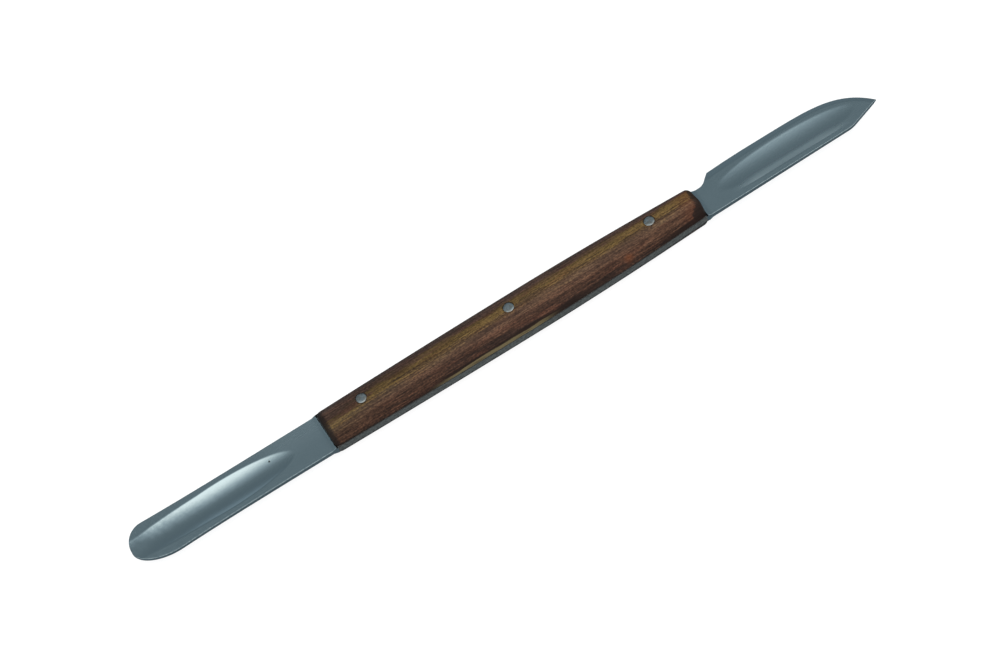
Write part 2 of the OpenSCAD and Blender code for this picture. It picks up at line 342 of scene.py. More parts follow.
# %% [markdown]
# ## Blade
# The blade could be cut from a block with Booleans, but then a smooth highlight would break at every cut.
# Its faces are a height over the plan, so a fine grid is stretched between the two sides of the outline,
# extruded once for the edge all round, and its upper and lower points are set to the heights above. The
# corner all round the outline is rounded by the distance to the outline.

# %% Stretch a grid over the blade
CELL = 0.28
TANG_CELL = 6 * CELL
ARC_CELL = CELL / 2
POINT_CELL = CELL / 1.5
BOW_STATIONS = 56
CELLS_ACROSS = 64
RIM_SHARES = [0, 0.002, 0.005, 0.01]
INNER_SHARE = 0.017
EDGE_ROUND = 0.04
OUTLINE_STEP = 0.04
OUTLINE_DENSITY = 4
STEP_WIDTH = 0.02


def stretch(start, end, cell):
    return np.linspace(start, end, max(2, round((end - start) / cell)), endpoint=False)


def blade_stations():
    bow = np.linspace(0, math.pi / 2, BOW_STATIONS, endpoint=False)
    return np.concatenate([
        SPOON_TIP + SPINE_BOW * (1 - np.cos(bow)),
        stretch(SPOON_TIP + SPINE_BOW, -HANDLE_END - RAMP_L, CELL),
        stretch(-HANDLE_END - RAMP_L, -HANDLE_END, CELL),
        stretch(-HANDLE_END, HANDLE_END, TANG_CELL),
        [HANDLE_END],
        stretch(HANDLE_END + STEP_WIDTH, HANDLE_END + RAMP_L, CELL),
        stretch(HANDLE_END + RAMP_L, ARC_X, CELL),
        stretch(ARC_X, ARC_END, ARC_CELL),
        stretch(ARC_END, HEEL_X, CELL),
        stretch(HEEL_X, CLIP_X, CELL),
        stretch(CLIP_X, KNIFE_TIP, POINT_CELL),
        [KNIFE_TIP]])


def blade_shares():
    rim = np.array(RIM_SHARES)
    inner = np.linspace(INNER_SHARE, 1 - INNER_SHARE, CELLS_ACROSS)
    return np.concatenate([rim, inner, 1 - rim[::-1]])


def line_tree(points):
    tree = KDTree(len(points))
    for i, (x, y) in enumerate(points):
        tree.insert((x, y, 0), i)
    tree.balance()
    return tree


def sampled(side, start, end):
    x = np.linspace(start, end, round((end - start) / OUTLINE_STEP))
    y = side(x)
    dense = np.linspace(0, 1, OUTLINE_DENSITY * len(x))
    along = np.concatenate([[0], np.cumsum(np.hypot(np.diff(x), np.diff(y)))])
    along /= along[-1]
    return list(zip(np.interp(dense, along, x), np.interp(dense, along, y)))


def rounded_corner(to_outline):
    inside = np.clip(EDGE_ROUND - to_outline, 0, EDGE_ROUND)
    return EDGE_ROUND - np.sqrt(EDGE_ROUND ** 2 - inside ** 2)


def stretched_grid(stations, shares):
    bm = bmesh.new()
    bmesh.ops.create_grid(bm, x_segments=len(stations) - 1, y_segments=len(shares) - 1, size=1)
    for v in bm.verts:
        column = round((v.co.x + 1) / 2 * (len(stations) - 1))
        row = round((v.co.y + 1) / 2 * (len(shares) - 1))
        x = stations[column]
        low = spine_side(x)
        v.co = (x, low + (edge_side(x) - low) * shares[row], 0)
    bmesh.ops.remove_doubles(bm, verts=bm.verts, dist=STEP_WIDTH / 20)
    return bm


def set_heights(verts, face, sign, outline, edge):
    x = np.array([v.co.x for v in verts])
    y = np.array([v.co.y for v in verts])
    to_outline = np.array([outline.find((v.co.x, v.co.y, 0))[2] for v in verts])
    to_edge = np.array([edge.find((v.co.x, v.co.y, 0))[2] for v in verts])
    z = MID_Z + face(x, y, to_edge) - sign * rounded_corner(to_outline)
    for v, height in zip(verts, z):
        v.co.z = height


def make_blade():
    bm = stretched_grid(blade_stations(), blade_shares())
    lower = bm.verts[:]
    grown = bmesh.ops.extrude_face_region(bm, geom=bm.faces[:])["geom"]
    upper = [v for v in grown if isinstance(v, bmesh.types.BMVert)]
    sides = sampled(edge_side, SPOON_TIP, KNIFE_TIP) + sampled(spine_side, SPOON_TIP, KNIFE_TIP)
    outline = line_tree(sides)
    edge = line_tree(sampled(cutting_edge, HEEL_X, KNIFE_TIP))
    set_heights(lower, lower_face, -1, outline, edge)
    set_heights(upper, upper_face, 1, outline, edge)
    return finished_piece("spatula_blade", bm, "blade")


blade = make_blade()
drill_pin_holes(blade)

# %% [markdown]
# ## Wooden scales
# Each scale is a strip of wood, flat where it sits on the tang and rounded over its back, with a narrow flat
# along the crown where the pins were filed flush. A grid is bent over the section, its ends are rounded down,
# and the seat and the two end faces close it. The end at the knife is sanded back a little on the side of the
# cutting edge. A small bevel breaks the sharp corners, as sandpaper does.

# %% Bend a grid over the scale's section
CROWN_FLAT = 2.4
CROWN_POWER = 2.4
SCALE_END_R = 1.1
SCALE_CELLS_ALONG = 120
SCALE_CELLS_ACROSS = 56
SCALE_END_STEPS = 10
CROWN_SOFTENING = 0.06
SANDED_EDGE = 0.08
SANDED_BACK = 0.6
SANDED_RUN = 5.0
SANDED_FROM_SHARE = -0.6


def scale_stations():
    turn = np.linspace(0, math.pi / 2, SCALE_END_STEPS, endpoint=False)
    inset = SCALE_END_R * (1 - np.cos(turn))
    drop = SCALE_END_R * (1 - np.sin(turn))
    middle = np.linspace(-HANDLE_END + SCALE_END_R, HANDLE_END - SCALE_END_R, SCALE_CELLS_ALONG)
    x = np.concatenate([inset - HANDLE_END, middle, HANDLE_END - inset[::-1]])
    return x, np.concatenate([drop, 0 * middle, drop[::-1]])


def crown_height(y, half, tall):
    crown = tall / (1 - (CROWN_FLAT / 2 / half) ** CROWN_POWER)
    height = soft_min(crown * (1 - np.abs(y / half) ** CROWN_POWER), tall, CROWN_SOFTENING)
    return np.clip(height, 0, None)


def sanded_back(x, share):
    """How far the knife end is moved back, for a share of the half width from -1 to 1."""
    near_end = max(0.0, 1 - (HANDLE_END - x) / SANDED_RUN)
    across = max(0.0, share - SANDED_FROM_SHARE) / (1 - SANDED_FROM_SHARE)
    return SANDED_BACK * near_end ** 2 * across


def make_scale(name, node, seat, direction):
    x, drop = scale_stations()
    bm = bmesh.new()
    bmesh.ops.create_grid(bm, x_segments=len(x) - 1, y_segments=SCALE_CELLS_ACROSS, size=1)
    ends = {0: [], len(x) - 1: []}
    for v in bm.verts:
        column = round((v.co.x + 1) / 2 * (len(x) - 1))
        half = handle_half(x[column]) - drop[column]
        y = half * math.sin(v.co.y * math.pi / 2)
        place = x[column] - sanded_back(x[column], y / half)
        v.co = (place, y, seat + direction * crown_height(y, half, SCALE_T - drop[column]))
        if column in ends:
            ends[column].append(v)
    for verts in ends.values():
        bmesh.ops.contextual_create(bm, geom=verts)
    bmesh.ops.contextual_create(bm, geom=[e for e in bm.edges if e.is_boundary])
    bmesh.ops.recalc_face_normals(bm, faces=bm.faces)
    corners = [e for e in bm.edges if e.is_manifold and e.calc_face_angle() > SHARP_ANGLE]
    bmesh.ops.bevel(bm, geom=corners, offset=SANDED_EDGE, segments=3, profile=0.5, affect="EDGES",
                    material=-1)
    return finished_piece(name, bm, node)


front_scale = make_scale("front_wood_scale", "front_scale", TANG_HIGH, 1)
rear_scale = make_scale("rear_wood_scale", "rear_scale", TANG_LOW, -1)
for scale in (front_scale, rear_scale):
    drill_pin_holes(scale)

# %% [markdown]
# ## Pins
# The pins are steel wire, driven through the handle and filed flush, so their heads are almost flat, with a
# worn rim. Half a section is drawn and spun round the pin's axis. No head is quite round after the hammer, so
# its rim wanders a little, inside the hole.

# %% Spin the pins
PIN_BEVEL = 0.06
PIN_DOME = 0.004
PIN_SIDES = 48
RIM_WANDER = 0.012
RIM_LOBES = 3


def make_pin(node):
    low, high = PIN_BOXES[node]
    x = (low.x + high.x) / 2
    half_section = [
        (0, high.z),
        (PIN_R / 2, high.z - PIN_DOME / 4),
        (PIN_R - PIN_BEVEL, high.z - PIN_DOME),
        (PIN_R - PIN_BEVEL / 3, high.z - PIN_DOME - PIN_BEVEL / 3),
        (PIN_R, high.z - PIN_DOME - PIN_BEVEL),
        (PIN_R, low.z + PIN_DOME + PIN_BEVEL),
        (PIN_R - PIN_BEVEL / 3, low.z + PIN_DOME + PIN_BEVEL / 3),
        (PIN_R - PIN_BEVEL, low.z + PIN_DOME),
        (0, low.z)]
    bm = bmesh.new()
    line = [bm.verts.new((r, 0, z)) for r, z in half_section]
    edges = [bm.edges.new(pair) for pair in zip(line, line[1:])]
    bmesh.ops.spin(bm, geom=line + edges, cent=(0, 0, 0), axis=(0, 0, 1), angle=2 * math.pi,
                   steps=PIN_SIDES, use_merge=True)
    bmesh.ops.remove_doubles(bm, verts=bm.verts, dist=PIN_BEVEL / 100)
    for v in bm.verts:
        wander = 1 - RIM_WANDER * (1 + math.sin(RIM_LOBES * math.atan2(v.co.y, v.co.x) + x))
        v.co.x = x + v.co.x * wander
        v.co.y *= wander
    return finished_piece(node.replace("_pin", "_rivet"), bm, node)


pins = [make_pin(node) for node in PIN_NODES]

# %% [markdown]
# ## Helpers for materials
# Colours are written as the sRGB values that an eye reads off a picture, and Blender's shaders want linear
# light, so one function converts them. Another adds a node with its settings and links, and sets the stops if
# the node is a colour ramp. Patterns are drawn on Object coordinates in millimetres, and the last function
# turns the real size of a pattern into the scale that its Mapping node needs.

# %% Colour and node helpers
def linear(hex_colour):
    parts = [int(hex_colour[i:i + 2], 16) / 255 for i in (1, 3, 5)]
    return [c / 12.92 if c <= 0.04045 else ((c + 0.055) / 1.055) ** 2.4 for c in parts] + [1.0]


def add_node(tree, kind, inputs=(), stops=(), **settings):
    node = tree.nodes.new("ShaderNode" + kind)
    for name, value in settings.items():
        setattr(node, name, value)
    for socket, value in (inputs.items() if isinstance(inputs, dict) else enumerate(inputs)):
        if isinstance(value, bpy.types.Node):
            value = value.outputs[0]
        if isinstance(value, bpy.types.NodeSocket):
            tree.links.new(value, node.inputs[socket])
        else:
            node.inputs[socket].default_value = value
    for i, (place, colour) in enumerate(stops):
        elements = node.color_ramp.elements
        element = elements[i] if i < len(elements) else elements.new(place)
        element.position = place
        element.color = colour
    return node


def new_material(name):
    material = bpy.data.materials.new(name)
    material.use_nodes = True
    material.node_tree.nodes.clear()
    node = partial(add_node, material.node_tree)
    place = node("TexCoord").outputs["Object"]
    in_mm = node("VectorMath", {0: place, "Scale": 1 / MM}, operation="SCALE")
    return material, node, in_mm, node("SeparateXYZ", [in_mm]).outputs


def per_mm(*sizes):
    return [1 / size for size in sizes]


print("white is", linear("#ffffff"))

# %% [markdown]
# ## Blade steel
# Stainless steel, ground and then polished by hand: a cool grey metal with soft reflections. Polishing leaves
# fine marks along the tool and slight ripples at the spoon's tip, the steel is duller on the spoon's neck and
# in a band along the knife, where the wheel didn't reach, and grime with painted shadow of the wood darkens
# the joint with the wood and the tang's seams. The sides of the tang are tarnished, and one small pit shows
# in the spoon.
#
# Real polishing marks are about a hundredth of a millimetre wide. They are drawn coarser, so that they show.

# %% Polished stainless steel: cool, smooth and a little cloudy
STEEL_COLOUR = linear("#c6d6d8")
TARNISH = linear("#d8cfc3")
# dark tone of grime with painted shadow of the wood, in the joint and along the tang's seams
JOINT_DIRT_AND_SHADE = linear("#2b2a2a")
PIT_COLOUR = linear("#5d5f58")
MARK_SIZE = (6.0, 0.12, 0.12)
MOTTLE_SIZE = (0.5, 0.4, 0.4)
RIPPLE_SIZE = (0.8, 3.0, 3.0)
RIPPLE_TURN = (0, 0, 0.5)
TARNISH_RANGE = (0.35, 0.65, 0.72, 1.2)
STEEL_ROUGHNESS = 0.17
MARK_ROUGHNESS = 0.06
HAZE_ROUGHNESS = 0.07
SATIN_ROUGHNESS = 0.26
HAZE_ALONG = (-HANDLE_END - 17.3, -HANDLE_END - 7.3)
HAZE_ACROSS = (-2.5, 3.0)
SATIN_TOP = (-0.4, -1.7)
SATIN_FOOT = (-2.55, -2.2)
SATIN_START = (HANDLE_END + 6.3, HANDLE_END + 13.3)
SATIN_END = (KNIFE_TIP - 5.6, KNIFE_TIP - 14.1)
RIPPLE_ALONG = (SPOON_TIP + 28.9, SPOON_TIP + 8.9)
RIPPLE_HEIGHTS = (12.0, 60.0)
MOTTLE_HEIGHT = 6.0
JOINT_REACH = 0.3
SEAM_REACH = 0.32
# the seams under the scales are painted dark as grime and as shadow, on the steel and on the wood
SEAM_DIRT_AND_SHADE = 0.8
PIT = (SPOON_TIP + 31.9, 1.4, 0)
PIT_R = 0.28


def steel_wear(node, x, y):
    """Masks of the haze on the spoon's neck and of the satin band along the knife."""
    on_neck = node("MapRange", [x, *HAZE_ALONG], interpolation_type="SMOOTHSTEP")
    on_spoon = node("Math", [x, 0.0], operation="LESS_THAN")
    upper = node("MapRange", [y, *HAZE_ACROSS], interpolation_type="SMOOTHSTEP")
    haze = node("Math", [on_neck, on_spoon], operation="MULTIPLY")
    haze = node("Math", [haze, upper], operation="MULTIPLY")
    above = node("MapRange", [y, *SATIN_TOP], interpolation_type="SMOOTHSTEP")
    below = node("MapRange", [y, *SATIN_FOOT], interpolation_type="SMOOTHSTEP")
    after = node("MapRange", [x, *SATIN_START], interpolation_type="SMOOTHSTEP")
    before = node("MapRange", [x, *SATIN_END], interpolation_type="SMOOTHSTEP")
    satin = node("Math", [above, below], operation="MULTIPLY")
    for edge in (after, before):
        satin = node("Math", [satin, edge], operation="MULTIPLY")
    return haze, satin


def steel_dirt_and_shade(node, in_mm, x, z, mottle):
    """Masks of grime and painted shadow in the joints and seams, of the tang's tarnished sides, and of the
    pit.
    """
    from_middle = node("Math", [x], operation="ABSOLUTE")
    wander = node("Math", [mottle, JOINT_REACH, HANDLE_END - JOINT_REACH / 3], operation="MULTIPLY_ADD")
    near_joint = node("Math", [from_middle, wander], operation="LESS_THAN")
    on_tang = node("Math", [from_middle, HANDLE_END - JOINT_REACH], operation="LESS_THAN")
    on_top = node("Math", [z, TANG_HIGH - JOINT_REACH], operation="GREATER_THAN")
    # painted shadow of the scale's end, with grime, in the joint with the wood
    joint = node("Math", [node("Math", [near_joint, on_tang], operation="SUBTRACT"), on_top], operation="MULTIPLY")
    level = node("Math", [node("Math", [z, MID_Z], operation="SUBTRACT")], operation="ABSOLUTE")
    # painted shade along the tang's seams under the scales, with grime
    seam = node("MapRange", [level, TANG_T / 2 - SEAM_REACH, TANG_T / 2, 0.0, SEAM_DIRT_AND_SHADE],
                interpolation_type="SMOOTHSTEP")
    seam = node("Math", [seam, on_tang], operation="MULTIPLY")
    flat = node("VectorMath", [in_mm, (1, 1, 0)], operation="MULTIPLY")
    from_pit = node("VectorMath", [flat, PIT], operation="DISTANCE").outputs["Value"]
    pit = node("MapRange", [from_pit, PIT_R, PIT_R / 3], interpolation_type="SMOOTHSTEP")
    pit = node("Math", [pit, node("Math", [z, MID_Z], operation="GREATER_THAN")], operation="MULTIPLY")
    return joint, on_tang, seam, pit


def blade_steel():
    material, node, in_mm, (x, y, z) = new_material("polished_stainless_steel")
    along = node("Mapping", {"Vector": in_mm, "Scale": per_mm(*MARK_SIZE)})
    marks = node("TexNoise", {"Vector": along, "Scale": 1.0, "Detail": 3.0})
    patches = node("Mapping", {"Vector": in_mm, "Scale": per_mm(*MOTTLE_SIZE)})
    mottle = node("TexNoise", {"Vector": patches, "Scale": 1.0, "Detail": 3.0})
    waves = node("Mapping", {"Vector": in_mm, "Rotation": RIPPLE_TURN, "Scale": per_mm(*RIPPLE_SIZE)})
    ripple = node("TexNoise", {"Vector": waves, "Scale": 1.0, "Detail": 2.0})
    haze, satin = steel_wear(node, x, y)
    joint, on_tang, seam, pit = steel_dirt_and_shade(node, in_mm, x, z, mottle)

    shade = node("MapRange", [mottle, *TARNISH_RANGE])
    tarnish = node("VectorMath", {0: TARNISH[:3], "Scale": shade}, operation="SCALE")
    colour = node("Mix", {0: on_tang, 6: STEEL_COLOUR, 7: tarnish}, data_type="RGBA").outputs[2]
    # the seam and joint masks paint shadow of the wood as well as grime
    for mask, tone in ((seam, JOINT_DIRT_AND_SHADE), (joint, JOINT_DIRT_AND_SHADE), (pit, PIT_COLOUR)):
        colour = node("Mix", {0: mask, 6: colour, 7: tone}, data_type="RGBA").outputs[2]
    rough = node("Math", [marks, MARK_ROUGHNESS, STEEL_ROUGHNESS], operation="MULTIPLY_ADD")
    rough = node("Math", [haze, HAZE_ROUGHNESS, rough], operation="MULTIPLY_ADD")
    rough = node("Math", [satin, SATIN_ROUGHNESS, rough], operation="MULTIPLY_ADD")
    rippled = node("MapRange", [x, *RIPPLE_ALONG, *RIPPLE_HEIGHTS])
    relief = node("Math", [ripple, rippled, marks], operation="MULTIPLY_ADD")
    relief = node("Math", [mottle, MOTTLE_HEIGHT, relief], operation="MULTIPLY_ADD")
    bump = node("Bump", {"Strength": 0.06, "Distance": 0.02 * MM, "Height": relief})
    steel = node("BsdfPrincipled", {
        "Base Color": colour, "Roughness": rough, "Normal": bump, "Metallic": 1.0})
    node("OutputMaterial", {"Surface": steel})
    return material


blade.data.materials.append(blade_steel())
print("blade:", blade.data.materials[0].name)

# %% [markdown]
# ## Pin steel
# The pins are plain steel wire, filed across after riveting, so their heads are a little duller and patchier
# than the blade. File marks cross each head.

# %% Filed steel: grey, scratched and patchy
PIN_COLOUR = linear("#bec6c5")
PIN_STAIN = linear("#aaa79e")
FILE_MARK_SIZE = (0.14, 0.9, 0.9)
FILE_TURN = (0, 0, 0.6)
STAIN_SIZE = (0.5, 0.5, 0.5)
STAIN_RANGE = (0.4, 0.7)
PIN_ROUGHNESS = (0.2, 0.8, 0.26, 0.4)


def pin_steel():
    material, node, in_mm, _ = new_material("filed_steel_wire")
    across = node("Mapping", {"Vector": in_mm, "Rotation": FILE_TURN, "Scale": per_mm(*FILE_MARK_SIZE)})
    marks = node("TexNoise", {"Vector": across, "Scale": 1.0, "Detail": 3.0})
    patches = node("Mapping", {"Vector": in_mm, "Scale": per_mm(*STAIN_SIZE)})
    stain = node("TexNoise", {"Vector": patches, "Scale": 1.0, "Detail": 2.0})
    stained = node("MapRange", [stain, *STAIN_RANGE], interpolation_type="SMOOTHSTEP")
    colour = node("Mix", {0: stained, 6: PIN_COLOUR, 7: PIN_STAIN}, data_type="RGBA").outputs[2]
    rough = node("MapRange", [marks, *PIN_ROUGHNESS])
    bump = node("Bump", {"Strength": 0.2, "Distance": 0.03 * MM, "Height": marks})
    steel = node("BsdfPrincipled", {
        "Base Color": colour, "Roughness": rough, "Normal": bump, "Metallic": 1.0})
    node("OutputMaterial", {"Surface": steel})
    return material


filed = pin_steel()
for pin in pins:
    pin.data.materials.append(filed)
print("pins:", filed.name)

# %% [markdown]
# ## Handle wood
# The scales are a dark, streaky hardwood of the rosewood kind, oiled. Its layers run along the tool: dark
# brown, red-brown and one olive streak that wanders along the crown. The layers are drawn as colours over a
# distance across the grain, and that distance is bent by noise that is long along the tool and short across
# it, as growth rings are. Finer noise draws the dark grain lines and the open pores.

# %% Oiled rosewood: dark brown with an olive streak, and dull from handling
LAYER_LOW = -6.0
LAYER_HIGH = 6.0
LAYERS = [
    (-5.2, "#30211a"), (-4.3, "#37241a"), (-3.6, "#3f2a1e"), (-2.9, "#452f22"), (-2.2, "#483325"),
    (-1.3, "#493726"), (-0.8, "#4e3c27"), (-0.2, "#594627"), (0.5, "#544225"), (1.1, "#433224"),
    (1.7, "#3c2c24"), (3.0, "#433229"), (5.0, "#40342e")]
STREAK_PATH = [
    (-HANDLE_END, -1.9), (-36, -1.4), (-30, -0.3), (-20, -0.2), (-5, 0.2), (10, 0.3), (25, -0.3),
    (HANDLE_END, 0.3)]
STREAK_REACH = 3.0
LAYER_TILT = 0.15
WOOD_NOISE = {
    "swell": ((18.0, 2.4, 2.4), 2.0),
    "figure": ((7.0, 0.8, 0.8), 4.0),
    "grain": ((5.0, 0.22, 0.22), 4.0),
    "line": ((14.0, 0.35, 0.35), 3.0),
    "pore": ((1.2, 0.09, 0.09), 2.0),
    "fleck": ((0.5, 0.25, 0.25), 2.0)}
LAYER_BENDS = {"swell": 2.0, "figure": 3.0, "line": 3.0, "grain": 2.0, "fleck": 1.5}
SHADE_RANGES = {"line": (0.4, 0.6, 0.74, 1.22), "grain": (0.4, 0.6, 0.76, 1.2),
                "pore": (0.3, 0.45, 0.66, 1.0), "fleck": (0.38, 0.62, 0.66, 1.38)}
NOISE_APART = (13.7, 5.1)
RED_BROWN = linear("#4a2a1e")
RED_RANGE = (0.5, 0.7, 0.0, 0.4)
DARKER_AT_SPOON = (-38.0, 5.0, 0.8, 1.06)


def wood_layers(node, in_mm, x, y, z):
    noises = {}
    for i, (name, (sizes, detail)) in enumerate(WOOD_NOISE.items()):
        apart = (NOISE_APART[0] * i, NOISE_APART[1] * i, 0)
        stretched = node("Mapping", {"Vector": in_mm, "Location": apart, "Scale": per_mm(*sizes)})
        noises[name] = node("TexNoise", {"Vector": stretched, "Scale": 1.0, "Detail": detail})
    share = node("MapRange", [x, -HANDLE_END, HANDLE_END])
    path = []
    for px, py in STREAK_PATH:
        path.append(((px / HANDLE_END + 1) / 2, [0.5 + py / STREAK_REACH / 2] * 3 + [1]))
    shift = node("ValToRGB", [share], stops=path)
    shift.color_ramp.interpolation = "B_SPLINE"
    shift = node("Math", [shift, 2 * STREAK_REACH, -STREAK_REACH], operation="MULTIPLY_ADD")
    layer = node("Math", [y, shift], operation="SUBTRACT")
    from_crown = node("Math", [z, CROWN_Z], operation="SUBTRACT")
    layer = node("Math", [from_crown, LAYER_TILT, layer], operation="MULTIPLY_ADD")
    for name, reach in LAYER_BENDS.items():
        bend = node("Math", [noises[name], 0.5], operation="SUBTRACT")
        layer = node("Math", [bend, reach, layer], operation="MULTIPLY_ADD")
    share = node("MapRange", [layer, LAYER_LOW, LAYER_HIGH])
    stops = [((place - LAYER_LOW) / (LAYER_HIGH - LAYER_LOW), linear(tone)) for place, tone in LAYERS]
    colour = node("ValToRGB", [share], stops=stops)
    reddish = node("MapRange", [noises["figure"], *RED_RANGE])
    colour = node("Mix", {0: reddish, 6: colour, 7: RED_BROWN}, data_type="RGBA").outputs[2]
    shade = node("MapRange", [x, *DARKER_AT_SPOON])
    for name, limits in SHADE_RANGES.items():
        tone = node("MapRange", [noises[name], *limits])
        shade = node("Math", [shade, tone], operation="MULTIPLY")
    shaded = node("VectorMath", {0: colour, "Scale": shade}, operation="SCALE")
    return shaded, shade, noises


# %% [markdown]
# Painted shade darkens the rounded ends of the wood and the seam along the tang, which also holds the dark
# glue line, and grime darkens the rims of the pin holes. At the knife the painted dark end is wider low down.
# Each of these is a mask over a distance in millimetres. The masks wander with the noise of the wood, so that
# none of them ends in a straight line.

# %% Dark edges
# dark tone for painted shade at the scales' ends and seat, and for grime round the pins
WOOD_DARK = linear("#17110e")
END_BAND = (1.15, 0.8)
END_BAND_SHADE = 0.85
END_LINE = (0.5, 0.1)
END_LINE_SHADE = 0.9
END_WANDER = 2.0
CORNER_LEVELS = (2.9, 1.7)
CORNER_REACH = (0.3, 1.7)
SEAM_BAND = (0.4, 0.05)
SEAM_WANDER = 0.4
HOLE_RIM = 0.25
HOLE_DIRT = 0.7
HOLE_WANDER = 0.6


def pin_distance(node, in_mm):
    flat = node("VectorMath", [in_mm, (1, 1, 0)], operation="MULTIPLY")
    away = [node("VectorMath", [flat, (px, 0, 0)], operation="DISTANCE").outputs["Value"] for px in PIN_X]
    nearer = node("Math", away[:2], operation="MINIMUM")
    return node("Math", [nearer, away[2]], operation="MINIMUM")


def wood_dirt_and_shade(node, in_mm, x, z, noises):
    wander = node("Math", [noises["fleck"], 0.5], operation="SUBTRACT")
    from_middle = node("Math", [x], operation="ABSOLUTE")
    along = node("Math", [wander, END_WANDER, from_middle], operation="MULTIPLY_ADD")
    level = node("Math", [node("Math", [z, MID_Z], operation="SUBTRACT")], operation="ABSOLUTE")
    # at the knife the painted dark end reaches further in low down
    begins, full = [TANG_T / 2 + over_seat for over_seat in CORNER_LEVELS]
    low = node("MapRange", [level, begins, full, *CORNER_REACH])
    at_knife = node("Math", [x, 0.0], operation="GREATER_THAN")
    along = node("Math", [at_knife, low, along], operation="MULTIPLY_ADD")
    # painted shade over the rounded ends of the scales
    begins, full = [HANDLE_END - inset for inset in END_BAND]
    band = node("MapRange", [along, begins, full, 0.0, END_BAND_SHADE], interpolation_type="SMOOTHSTEP")
    begins, full = [HANDLE_END - inset for inset in END_LINE]
    end_line = node("MapRange", [along, begins, full, 0.0, END_LINE_SHADE], interpolation_type="SMOOTHSTEP")
    # painted shade along the seat, with the dark glue line
    level = node("Math", [wander, SEAM_WANDER, level], operation="MULTIPLY_ADD")
    begins, full = [TANG_T / 2 + over_seat for over_seat in SEAM_BAND]
    seam = node("MapRange", [level, begins, full, 0.0, SEAM_DIRT_AND_SHADE], interpolation_type="SMOOTHSTEP")
    away = node("Math", [wander, HOLE_WANDER, pin_distance(node, in_mm)], operation="MULTIPLY_ADD")
    rims = node("MapRange", [away, PIN_R + HOLE_RIM, PIN_R, 0.0, HOLE_DIRT], interpolation_type="SMOOTHSTEP")
    dirt_and_shade = band
    for mask in (end_line, seam, rims):
        dirt_and_shade = node("Math", [dirt_and_shade, mask], operation="MAXIMUM")
    return dirt_and_shade


# %% [markdown]
# Along the front scale's lower side runs a dark streak with a strip of pale sapwood under it, and a second
# dark streak runs out at the knife. They follow the height over the seat, and each has four places along the
# tool: where it begins, where it is full, where it has gone and where it was last full. A small knot is the
# distance to one point, and the wood is redder at the knife's end.

# %% Sapwood, dark streaks and knot
STREAK_DARK = linear("#1c110c")
SAPWOOD = linear("#5c5138")
KNOT_COLOUR = linear("#5e3218")
RED_END = linear("#5a2f1c")
SAP_HIGH = 0.66
SAP_EDGE = 0.15
SAP_BREAKS = (0.36, 0.52, 0.35, 0.95)
DARK_HIGH = 1.2
DARK_EDGE = 0.4
DARK_STRENGTH = 0.9
STREAK_WANDER = 0.8
DARK_ALONG = (-26.0, -16.0, 26.0, 10.0)
SAP_ALONG = (-22.0, -15.0, 9.0, 2.0)
END_ALONG = (HANDLE_END - 15.7, HANDLE_END - 4.7, HANDLE_END + 17.3, HANDLE_END + 7.3)
KNOT = (25.0, -3.6, 6.9)
KNOT_R = 1.3
KNOT_CORE = 0.2
KNOT_WANDER = 1.6
KNOT_STRENGTH = 0.6
KNOT_FLAT = (0.8, 1.0, 1.0)
RED_ALONG = (HANDLE_END - 6, HANDLE_END - 2)
RED_STRENGTH = 0.3


def wood_streaks(node, x, y, z, colour, noises):
    wander = node("Math", [noises["figure"], 0.5], operation="SUBTRACT")
    lower_side = node("Math", [y, 0.0], operation="LESS_THAN")
    front = node("Math", [z, MID_Z], operation="GREATER_THAN")
    there = node("Math", [lower_side, front], operation="MULTIPLY")
    height = node("Math", [z, TANG_HIGH], operation="SUBTRACT")
    height = node("Math", [wander, STREAK_WANDER, height], operation="MULTIPLY_ADD")
    dark = node("MapRange", [height, DARK_HIGH, DARK_HIGH - DARK_EDGE, 0.0, DARK_STRENGTH],
                interpolation_type="SMOOTHSTEP")
    sap = node("MapRange", [height, SAP_HIGH, SAP_HIGH - SAP_EDGE], interpolation_type="SMOOTHSTEP")
    broken = node("MapRange", [noises["grain"], *SAP_BREAKS])
    sap = node("Math", [sap, broken], operation="MULTIPLY")
    streaks = ((dark, STREAK_DARK, DARK_ALONG), (sap, SAPWOOD, SAP_ALONG), (dark, STREAK_DARK, END_ALONG))
    for mask, tone, (begins, full, gone, last_full) in streaks:
        after = node("MapRange", [x, begins, full], interpolation_type="SMOOTHSTEP")
        before = node("MapRange", [x, gone, last_full], interpolation_type="SMOOTHSTEP")
        for limit in (there, after, before):
            mask = node("Math", [mask, limit], operation="MULTIPLY")
        colour = node("Mix", {0: mask, 6: colour, 7: tone}, data_type="RGBA").outputs[2]
    return colour


def wood_knot(node, in_mm, x, colour, noises):
    wander = node("Math", [noises["figure"], 0.5], operation="SUBTRACT")
    squeezed = node("VectorMath", [in_mm, KNOT_FLAT], operation="MULTIPLY")
    middle = [a * b for a, b in zip(KNOT, KNOT_FLAT)]
    knot = node("VectorMath", [squeezed, middle], operation="DISTANCE").outputs["Value"]
    knot = node("Math", [wander, KNOT_WANDER, knot], operation="MULTIPLY_ADD")
    knot = node("MapRange", [knot, KNOT_R, KNOT_CORE, 0.0, KNOT_STRENGTH], interpolation_type="SMOOTHSTEP")
    colour = node("Mix", {0: knot, 6: colour, 7: KNOT_COLOUR}, data_type="RGBA").outputs[2]
    red = node("MapRange", [x, *RED_ALONG, 0.0, RED_STRENGTH], interpolation_type="SMOOTHSTEP")
    return node("Mix", {0: red, 6: colour, 7: RED_END}, data_type="RGBA").outputs[2]


# %% Put the wood together
WOOD_ROUGHNESS = (0.3, 0.7, 0.6, 0.46)


